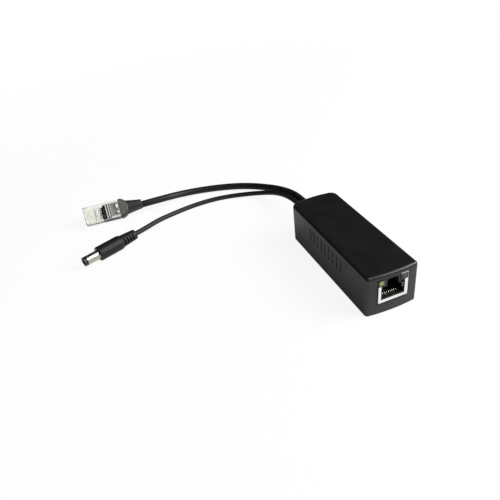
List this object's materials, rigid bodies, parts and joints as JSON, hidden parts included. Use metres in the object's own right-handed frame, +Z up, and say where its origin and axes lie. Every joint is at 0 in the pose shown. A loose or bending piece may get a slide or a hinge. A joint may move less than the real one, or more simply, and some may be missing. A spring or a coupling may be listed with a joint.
{
  "type": "poe splitter",
  "caption": "Small oblong black case with a shielded network jack in one end and two short leads from the other, to a clear network plug and a barrel power plug.",
  "frame": {"origin": "centre of the case's footprint, on the surface that it stands on", "axes": "+Y along the case from the jack end to the end where the leads leave, +Z up out of the roof, +X across, towards the side where the data lead leaves"},
  "size_m": [0.1457, 0.166, 0.0225],
  "materials": {
    "case_black": "fine satin moulding, black",
    "board_green": "green solder mask over glass fibre",
    "shield_steel": "bright tinned sheet",
    "housing_black": "black moulding",
    "contact_gold": "gold plated",
    "light_green": "tinted yellow green lens",
    "light_clear": "milky lens",
    "package_black": "moulded package with tinned leads",
    "package_white": "white moulded package with tinned leads",
    "ferrite": "dark grey sintered core",
    "bobbin_black": "black moulding",
    "winding_tape": "yellow tape over the winding",
    "capacitor_can": "sleeved can with a bare top",
    "chip_tan": "ceramic",
    "cable_black": "soft smooth black jacket",
    "core_colours": "coloured insulation",
    "plug_clear": "clear hard plastic",
    "boot_grey": "soft moulded dark grey",
    "grip_black": "soft moulded black",
    "barrel_nickel": "nickel plated, turned",
    "insulator_black": "black ring"
  },
  "bodies": {
    "root": {"upper_case": "case_black", "bottom_cover": "case_black", "circuit_board": "board_green", "jack_shield": "shield_steel", "jack_housing": "housing_black", "jack_contacts": "contact_gold", "left_light": "light_green", "right_light": "light_clear", "isolation_transformer": "package_black", "power_controller": "package_black", "power_switch": "package_black", "optocoupler": "package_white", "left_bridge_rectifier": "package_black", "right_bridge_rectifier": "package_black", "output_diode": "package_black", "front_core_half": "ferrite", "rear_core_half": "ferrite", "transformer_bobbin": "bobbin_black", "transformer_winding": "winding_tape", "input_capacitor": "capacitor_can", "output_capacitor": "capacitor_can", "output_inductor": "ferrite", "chip_capacitors": "chip_tan", "chip_resistors": "package_black", "strain_relief": "cable_black", "data_cores": "core_colours", "power_cores": "core_colours", "data_cable": "cable_black", "power_cable": "cable_black", "data_plug_body": "plug_clear", "data_plug_contacts": "contact_gold", "data_plug_wires": "core_colours", "data_cable_jacket_end": "cable_black", "data_plug_boot": "boot_grey", "power_plug_grip": "grip_black", "power_plug_barrel": "barrel_nickel", "power_plug_insulator": "insulator_black", "power_plug_centre_contact": "barrel_nickel"}
  },
  "joints": []
}
